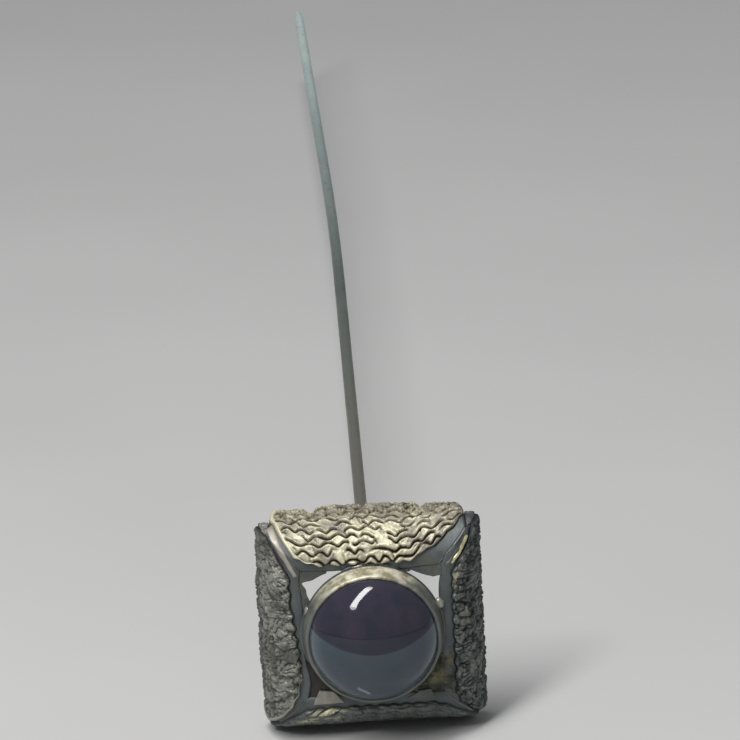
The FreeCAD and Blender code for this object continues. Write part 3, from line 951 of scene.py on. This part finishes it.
solder = sheet_material(
    "solder", (0.30, 0.29, 0.24), (0.52, 0.51, 0.44), (0.60, 0.56, 0.30), 0.36
)
# the mauve strip beside the top left mitre is the rails' metal painted lighter: painted light where
# the top rail faces the light
mauve_painted_lit = sheet_material(
    "mitre_edge_painted_lit", (0.32, 0.30, 0.26), (0.52, 0.48, 0.42), (0.46, 0.43, 0.34), 0.55
)
web_metal = sheet_material(
    "web_metal", (0.09, 0.10, 0.10), (0.16, 0.17, 0.16), (0.15, 0.145, 0.115), 0.45
)
# the dark brown fill in the lower left opening stands for the shade there: painted shade
brown_painted_shade = sheet_material(
    "brown_web_painted_shade", (0.035, 0.032, 0.03), (0.06, 0.052, 0.048), (0.05, 0.045, 0.035), 0.6
)
pale_metal = sheet_material(
    "pale_patch", (0.22, 0.215, 0.19), (0.34, 0.33, 0.30), (0.34, 0.32, 0.24), 0.5
)
olive_metal = sheet_material(
    "olive_solder", (0.035, 0.038, 0.03), (0.12, 0.12, 0.085), (0.26, 0.25, 0.14), 0.5
)
facet_metal = sheet_material(
    "solder_facet", (0.09, 0.10, 0.085), (0.17, 0.18, 0.15), (0.2, 0.2, 0.16), 0.5
)
# the gold strip beside the top right mitre is a painted highlight
gold_painted_highlight = sheet_material(
    "gold_trace_painted_highlight", (0.50, 0.47, 0.24), (0.78, 0.74, 0.42), (0.6, 0.58, 0.36), 0.42
)
cup_metal = cup_material()

for node, material in (
    ("bezel_base", dull_metal),
    ("seat_ring", cup_metal),
    ("foil_disc", cup_metal),
    ("shank_socket", dull_metal),
    ("socket_solder", solder),
):
    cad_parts[node].data.materials.clear()
    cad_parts[node].data.materials.append(material)

PANELS = {
    # the two ends, texture, grain, swell, slant, spots and material, as panel says
    "top": (
        [
            (
                [(6.6, 4.6), (7.0, 5.9), (7.4, 6.9), (8.6, 7.85), (9.6, 8.6), (9.75, 8.95)],
                0.6, 0.34, 0.8,
            ),
            (
                [(6.6, 3.4), (7.35, 4.9), (7.9, 6.25), (8.9, 7.6), (9.35, 8.3), (9.72, 8.85)],
                0.7, 0.1, 0.0,
            ),
        ],
        (0.74, 1.5, 0.2, 0.18), 0.0, (0.22, 4.4), 0.0,
        [(-6.0, 2.4, 1.6, 0.8), (-1.5, 1.6, 1.8, 0.7), (2.2, 2.4, 1.2, 0.7)],
        top_sheet_painted_lit,
    ),
    "right": (
        [
            (
                [(7.3, 5.0), (7.8, 6.0), (8.4, 6.8), (8.8, 7.4), (9.2, 8.3), (9.5, 9.1)],
                0.3, 0.1, 0.0,
            ),
            ([(7.3, 6.4), (7.8, 7.5), (8.5, 8.4), (9.2, 9.1), (9.7, 9.6)], 0.9, 0.0, 0.0),
        ],
        (0.8, 1.25, 0.15, 0.6), 0.85, (0.0, 1.0), 0.0,
        [(-4.6, 0.4, 0.6, 1.0), (4.5, 1.2, 0.9, 0.3), (-1.8, 1.4, 0.8, 0.3)],
        right_sheet_painted_shade,
    ),
    "bottom": (
        [
            ([(7.2, 5.3), (7.6, 6.5), (8.4, 7.9), (9.2, 8.9), (9.8, 9.6)], 0.8, 0.1, 0.0),
            ([(7.2, 5.5), (7.6, 6.8), (8.4, 8.0), (9.2, 9.0), (9.8, 9.9)], 0.8, 0.1, 0.0),
        ],
        (0.7, 2.6, 0.1, 0.3), 0.35, (0.22, 9.5), 0.0,
        [(4.4, 0.5, 1.5, 1.0), (6.2, 1.6, 1.0, 0.7), (-2.0, 0.9, 1.2, 0.15)],
        low_sheet_painted_shade,
    ),
    "left": (
        [
            (
                [(6.62, 3.6), (6.9, 5.4), (7.1, 6.1), (7.6, 7.2), (8.4, 8.3), (9.1, 9), (9.6, 9.5)],
                0.9, 0.3, 0.5,
            ),
            ([(6.62, 5.9), (7.45, 6.6), (8.9, 8.2), (9.2, 8.95), (9.6, 9.15)], 0.3, 0.1, 0.0),
        ],
        (0.8, 1.25, 0.15, 0.5), 0.8, (0.1, 4.4), 0.75,
        [(4.3, 0.9, 0.8, 1.0), (6.4, 1.9, 0.9, 0.8), (-6.5, 1.5, 1.3, 0.5), (1.0, 1.5, 0.7, 0.4)],
        left_sheet_painted_shade,
    ),
}
RAIL_BULGES = {
    "top": [(-3.5, 3.2, 0.22), (3.5, 3.2, 0.32)],
    "right": [(-5.5, 1.0, -0.25)],
    "bottom": [],
    "left": [(-4.6, 1.3, 0.3), (5.2, 1.2, -0.25)],
}
for turns, name in enumerate(SIDES):
    rail(name, turns, RAIL_BULGES[name], dull_metal)
    panel(name, turns, *PANELS[name])

MITRE = [(place, place) for place in (OPENING_HALF - 0.02, RAIL_HALF_LENGTH + 0.03)]
corner_solder(
    "top_right", 0,
    [
        (MITRE, (0.1, 0.16), 0.08, web_metal),
        ([(6.98, 5.9), (7.96, 6.9), (8.69, 8.05), (9.1, 8.8)], (0.24, 0.3), 0.12, web_metal),
        ([(7.4, 6.1), (8.1, 6.85), (8.75, 7.9), (8.95, 8.3)], (0.2, 0.2), 0.2, gold_painted_highlight),
    ],
    [
        (web, [(0.4, 0.15), (-0.56, 0.15), (-0.56, -1.26), (0.4, -1.1)], -0.1, 0.03, web_metal),
        (web, [(-0.5, 0.15), (-2.65, 0.15), (-2.65, -0.45), (-0.5, -1.27)], -0.1, 0.03, web_metal),
        (web, [(-2.6, 0.15), (-3.9, 0.15), (-3.9, -0.65), (-2.6, -0.62)], -0.12, 0.03, web_metal),
    ],
)
corner_solder(
    "bottom_right", 1, [(MITRE, (0.14, 0.22), 0.12, web_metal)],
    [
        (fill, (12, 80), -0.05, 0.16, olive_metal),
        (web, [(-4.3, 0.95), (0.3, 1.1), (0.15, -0.2), (-4.1, -0.15)], 0.0, 0.12, olive_metal),
        (web, [(0.5, -3.3), (0.5, -0.7), (-0.2, -1.2), (-0.1, -2.2)], 0.06, 0.05, facet_metal),
    ],
)
corner_solder(
    "bottom_left", 2, [(MITRE, (0.12, 0.18), 0.1, web_metal)],
    [
        (fill, (12, 62), -0.2, 0.06, brown_painted_shade),
        (web, [(-0.45, 0.66), (-3.3, 0.6), (-2.2, -0.6), (-1.0, -0.7)], 0.14, 0.05, pale_metal),
    ],
)
corner_solder(
    "top_left", 3,
    [
        (MITRE, (0.1, 0.16), 0.08, web_metal),
        (
            [(5.6, 6.78), (7.0, 7.5), (8.4, 8.3), (9.1, 8.7), (9.6, 8.9)],
            (0.2, 0.36), 0.16, mauve_painted_lit,
        ),
    ],
    [
        (web, [(0.15, 0.2), (0.15, -2.4), (-0.42, -2.2), (-1.35, 0.3)], -0.1, 0.03, web_metal),
        (web, [(-1.1, 0.25), (-4.4, 0.25), (-4.4, -0.95), (-1.2, 0.02)], -0.1, 0.03, web_metal),
    ],
)

CUP_LUMPS = {
    "top": (-10, 0.12, 0.0),
    "right": (-22, 0.42, 0.15),
    "bottom": (8, 0.12, 0.0),
    "left": (22, 0.34, -0.2),
}
for turns, name in enumerate(SIDES):
    bezel_joint(name, turns, CUP_LUMPS[name], web_metal, solder)
collar(cup_metal)
stone(stone_material())
shank(wire_material())

# ---------------------------------------------------------------- floor, lights and camera

FLOOR_HALF = 1.5  # metres
PANEL_RISE = 0.5  # of the panels over the rails
FLOOR_GAP = 0.2


def studio():
    """A pale floor under the head and a dim grey surround."""
    size = FLOOR_HALF
    low = -(RAIL_HALF + PANEL_RISE + FLOOR_GAP) * MM
    mesh = bpy.data.meshes.new("floor")
    corners = [(-size, -size, low), (size, -size, low), (size, size, low), (-size, size, low)]
    mesh.from_pydata(corners, [], [(0, 1, 2, 3)])
    mesh.materials.append(floor_material())
    floor = bpy.data.objects.new("floor", mesh)
    bpy.context.scene.collection.objects.link(floor)

    world = bpy.data.worlds.new("surround")
    bpy.context.scene.world = world
    world.use_nodes = True
    background = world.node_tree.nodes["Background"]
    background.inputs["Color"].default_value = (0.95, 0.98, 1.0, 1)
    background.inputs["Strength"].default_value = 0.22


def strip_light(name, toward, along, distance, length, width, power):
    """A soft strip with round ends in a direction from the stone, its length along a line."""
    back = Vector(toward).normalized()
    right = Vector(along)
    right = (right - back * right.dot(back)).normalized()
    turn = Matrix((right, back.cross(right), back)).transposed()
    area = length * width + math.pi / 4 * width**2
    end_share = math.pi / 8 * width**2 / area
    for shape, size, shift, share in (
        ("RECTANGLE", length, 0, length * width / area),
        ("DISK", width, length / 2, end_share),
        ("DISK", width, -length / 2, end_share),
    ):
        light = bpy.data.lights.new(name, "AREA")
        light.shape = shape
        light.size = size
        light.size_y = width
        light.energy = power * share
        lamp = bpy.data.objects.new(name, light)
        lamp.matrix_world = Matrix.Translation(back * distance + right * shift) @ turn.to_4x4()
        bpy.context.scene.collection.objects.link(lamp)


def photo_camera():
    """A long lens looking down at the head from in front, rolled a little."""
    distance = 0.480
    elevation = math.radians(20.65)
    azimuth = math.radians(-0.92)
    roll = Matrix.Rotation(math.radians(-2.81), 4, "Z")
    data = bpy.data.cameras.new("camera")
    data.lens = 252.5
    data.sensor_width = 36
    data.clip_start = 0.01
    data.clip_end = 20
    camera = bpy.data.objects.new("camera", data)
    flat = math.cos(elevation)
    toward = (math.sin(azimuth) * flat, -math.cos(azimuth) * flat, math.sin(elevation))
    place = Vector(toward) * distance
    aim = Vector((0.00101, 0, 0.02317))
    look = (aim - place).to_track_quat("-Z", "Y").to_matrix().to_4x4()
    camera.matrix_world = Matrix.Translation(place) @ look @ roll
    bpy.context.scene.collection.objects.link(camera)
    bpy.context.scene.camera = camera


studio()
strip_light(
    "key", toward=(-0.25, -0.32, 0.92), along=(0.50, 0.82, 0.43),
    distance=0.5, length=0.46, width=0.09, power=2.9,
)
photo_camera()
bpy.context.scene.view_settings.view_transform = "Standard"
